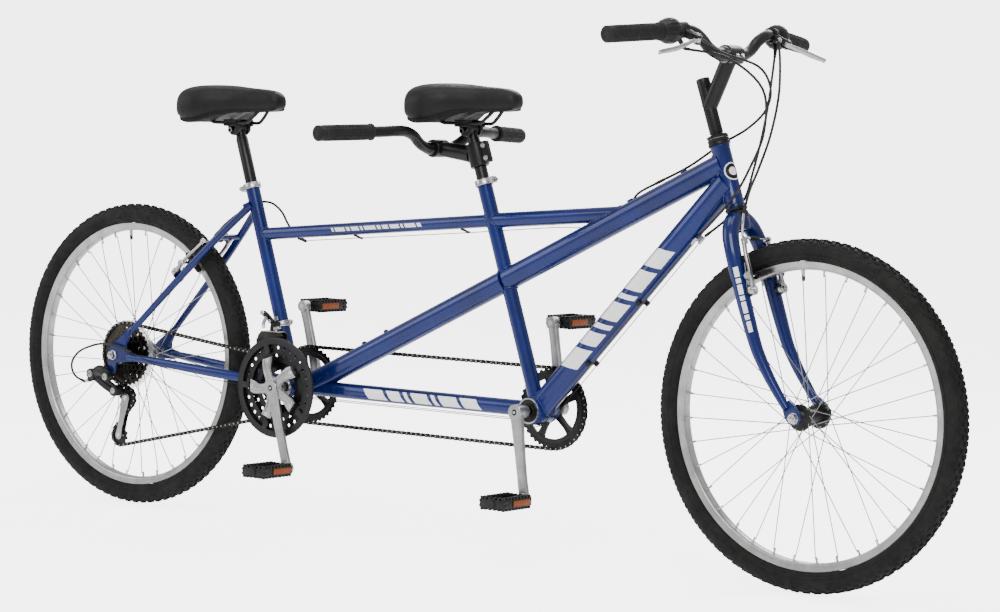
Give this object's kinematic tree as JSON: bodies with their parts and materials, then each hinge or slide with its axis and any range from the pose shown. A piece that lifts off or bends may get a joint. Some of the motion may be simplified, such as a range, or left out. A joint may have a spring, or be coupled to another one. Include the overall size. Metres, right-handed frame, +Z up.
{
  "type": "tandem bicycle",
  "caption": "Bicycle for two riders in line, with a diagonal-tube frame, timing chain, derailleur gears and rim brakes.",
  "frame": {"origin": "on the ground, midway between the wheel axles, on the centre plane", "axes": "+X forward in the direction of travel, +Y to the riders' left, +Z up"},
  "size_m": [2.3864, 0.6756, 1.0543],
  "materials": {
    "blue_paint": "gloss clear-coated metallic blue",
    "black_paint": "satin black",
    "tyre_rubber": "matt black tread",
    "rim_alloy": "brushed",
    "polished_alloy": "polished",
    "black_plastic": "moulded",
    "grip_rubber": "ribbed",
    "saddle_skin": "smooth black cover",
    "dark_steel": "dark oiled",
    "cable_housing": "satin sleeve"
  },
  "bodies": {
    "frame": {"head_tube": "blue_paint", "lateral_tube_front": "blue_paint", "lateral_tube_rear": "blue_paint", "down_tube": "blue_paint", "front_seat_tube": "blue_paint", "rear_seat_and_top_tube": "blue_paint", "bottom_bracket_boom": "blue_paint", "seat_stays": "blue_paint", "chain_stays": "blue_paint", "front_seat_collar": "polished_alloy", "rear_seat_collar": "polished_alloy", "rear_axle": "polished_alloy", "drive_chain": "dark_steel", "timing_chain": "dark_steel", "rear_derailleur": "black_paint", "front_derailleur": "polished_alloy", "rear_brake_cable": "cable_housing", "front_shift_cable": "cable_housing", "rear_shift_cable": "cable_housing"},
    "steering": {"fork": "blue_paint", "stem": "black_paint", "handlebar": "black_paint", "captain_right_grip": "grip_rubber", "captain_left_grip": "grip_rubber", "front_axle": "polished_alloy", "front_brake_cable": "cable_housing"},
    "front_wheel": {"front_tyre": "tyre_rubber", "front_rim": "rim_alloy", "front_hub": "black_paint"},
    "rear_wheel": {"rear_tyre": "tyre_rubber", "rear_rim": "rim_alloy", "rear_hub": "polished_alloy"},
    "freewheel": {"freewheel": "dark_steel"},
    "rear_cranks": {"rear_right_crank": "polished_alloy", "rear_left_crank": "polished_alloy", "drive_chainrings": "black_paint"},
    "front_cranks": {"front_right_crank": "polished_alloy", "front_left_crank": "polished_alloy"},
    "rear_right_pedal": {"rear_right_pedal": "black_plastic"},
    "rear_left_pedal": {"rear_left_pedal": "black_plastic"},
    "front_right_pedal": {"front_right_pedal": "black_plastic"},
    "front_left_pedal": {"front_left_pedal": "black_plastic"},
    "right_lever": {"right_brake_lever": "polished_alloy"},
    "left_lever": {"left_brake_lever": "polished_alloy"},
    "right_shifter": {"right_twist_shifter": "black_plastic"},
    "left_shifter": {"left_twist_shifter": "black_plastic"},
    "front_right_brake": {"front_right_brake_arm": "polished_alloy"},
    "front_left_brake": {"front_left_brake_arm": "polished_alloy"},
    "rear_right_brake": {"rear_right_brake_arm": "polished_alloy"},
    "rear_left_brake": {"rear_left_brake_arm": "polished_alloy"},
    "guide_pulley": {"guide_pulley": "black_plastic"},
    "tension_pulley": {"tension_pulley": "black_plastic"},
    "captain_seat": {"front_seatpost": "black_paint", "front_saddle": "saddle_skin", "stoker_stem": "black_paint", "stoker_handlebar": "black_paint", "stoker_right_grip": "grip_rubber", "stoker_left_grip": "grip_rubber"},
    "stoker_seat": {"rear_seatpost": "black_paint", "rear_saddle": "saddle_skin"}
  },
  "joints": [
    {"name": "steer", "type": "hinge", "parent": "frame", "child": "steering", "pos_m": [0.68955, 0, 0.7076], "axis": [-0.328, 0, 0.9447], "range_deg": [-50, 50], "deforming": ["rear_brake_cable", "front_shift_cable", "rear_shift_cable"]},
    {"name": "front_wheel_spin", "type": "hinge", "parent": "steering", "child": "front_wheel", "pos_m": [0.86425, 0, 0.329], "axis": [0, 1, 0], "continuous": true},
    {"name": "rear_wheel_spin", "type": "hinge", "parent": "frame", "child": "rear_wheel", "pos_m": [-0.86425, 0, 0.329], "axis": [0, 1, 0], "continuous": true},
    {"name": "rear_crank_spin", "type": "hinge", "parent": "frame", "child": "rear_cranks", "pos_m": [-0.39825, 0, 0.292], "axis": [0, 1, 0], "continuous": true},
    {"name": "front_crank_spin", "type": "hinge", "parent": "frame", "child": "front_cranks", "pos_m": [0.24075, 0, 0.292], "axis": [0, 1, 0], "continuous": true},
    {"name": "freewheel_spin", "type": "hinge", "parent": "frame", "child": "freewheel", "pos_m": [-0.86425, 0, 0.329], "axis": [0, 1, 0], "continuous": true},
    {"name": "guide_pulley_spin", "type": "hinge", "parent": "frame", "child": "guide_pulley", "pos_m": [-0.85975, -0.032, 0.2335], "axis": [0, 1, 0], "continuous": true},
    {"name": "tension_pulley_spin", "type": "hinge", "parent": "frame", "child": "tension_pulley", "pos_m": [-0.87925, -0.032, 0.15], "axis": [0, 1, 0], "continuous": true},
    {"name": "rear_right_pedal_spin", "type": "hinge", "parent": "rear_cranks", "child": "rear_right_pedal", "pos_m": [-0.34713, -0.142, 0.12987], "axis": [0, 1, 0], "continuous": true},
    {"name": "rear_left_pedal_spin", "type": "hinge", "parent": "rear_cranks", "child": "rear_left_pedal", "pos_m": [-0.44937, 0.142, 0.45413], "axis": [0, 1, 0], "continuous": true},
    {"name": "front_right_pedal_spin", "type": "hinge", "parent": "front_cranks", "child": "front_right_pedal", "pos_m": [0.27144, -0.142, 0.12479], "axis": [0, 1, 0], "continuous": true},
    {"name": "front_left_pedal_spin", "type": "hinge", "parent": "front_cranks", "child": "front_left_pedal", "pos_m": [0.21006, 0.142, 0.45921], "axis": [0, 1, 0], "continuous": true},
    {"name": "right_lever_pull", "type": "hinge", "parent": "steering", "child": "right_lever", "pos_m": [0.69538, -0.152, 1.01668], "axis": [-0.4296, 0.1691, -0.887], "range_deg": [0, 22]},
    {"name": "right_shift_twist", "type": "hinge", "parent": "steering", "child": "right_shifter", "pos_m": [0.65258, -0.185, 1.03111], "axis": [-0.2264, -0.9711, -0.0755], "range_deg": [0, 100]},
    {"name": "left_lever_pull", "type": "hinge", "parent": "steering", "child": "left_lever", "pos_m": [0.69538, 0.152, 1.01668], "axis": [0.4296, 0.1691, 0.887], "range_deg": [0, 22]},
    {"name": "left_shift_twist", "type": "hinge", "parent": "steering", "child": "left_shifter", "pos_m": [0.65258, 0.185, 1.03111], "axis": [-0.2264, 0.9711, -0.0755], "range_deg": [0, 70]},
    {"name": "front_right_brake_close", "type": "hinge", "parent": "steering", "child": "front_right_brake", "pos_m": [0.74375, -0.051, 0.552], "axis": [-0.9447, 0, -0.328], "range_deg": [0, 3]},
    {"name": "rear_right_brake_close", "type": "hinge", "parent": "frame", "child": "rear_right_brake", "pos_m": [-0.68825, -0.0515, 0.507], "axis": [-0.6966, 0, 0.7174], "range_deg": [0, 3]},
    {"name": "front_left_brake_close", "type": "hinge", "parent": "steering", "child": "front_left_brake", "pos_m": [0.74375, 0.051, 0.552], "axis": [0.9447, 0, 0.328], "range_deg": [0, 3]},
    {"name": "rear_left_brake_close", "type": "hinge", "parent": "frame", "child": "rear_left_brake", "pos_m": [-0.68825, 0.0515, 0.507], "axis": [0.6966, 0, -0.7174], "range_deg": [0, 3]},
    {"name": "captain_seat_height", "type": "slide", "parent": "frame", "child": "captain_seat", "axis": [-0.3203, 0, 0.9473], "range_m": [-0.015, 0.06]},
    {"name": "stoker_seat_height", "type": "slide", "parent": "frame", "child": "stoker_seat", "axis": [-0.3057, 0, 0.9521], "range_m": [-0.06, 0.06]}
  ],
  "couplings": [
    {"joint": "front_crank_spin", "follows": "rear_crank_spin", "ratio": 1},
    {"joint": "freewheel_spin", "follows": "rear_crank_spin", "ratio": 0.82353},
    {"joint": "guide_pulley_spin", "follows": "rear_crank_spin", "ratio": -2.5455},
    {"joint": "tension_pulley_spin", "follows": "rear_crank_spin", "ratio": 2.5455},
    {"joint": "front_right_brake_close", "follows": "left_lever_pull", "ratio": 0.12},
    {"joint": "front_left_brake_close", "follows": "left_lever_pull", "ratio": 0.12},
    {"joint": "rear_right_brake_close", "follows": "right_lever_pull", "ratio": 0.12},
    {"joint": "rear_left_brake_close", "follows": "right_lever_pull", "ratio": 0.12}
  ]
}
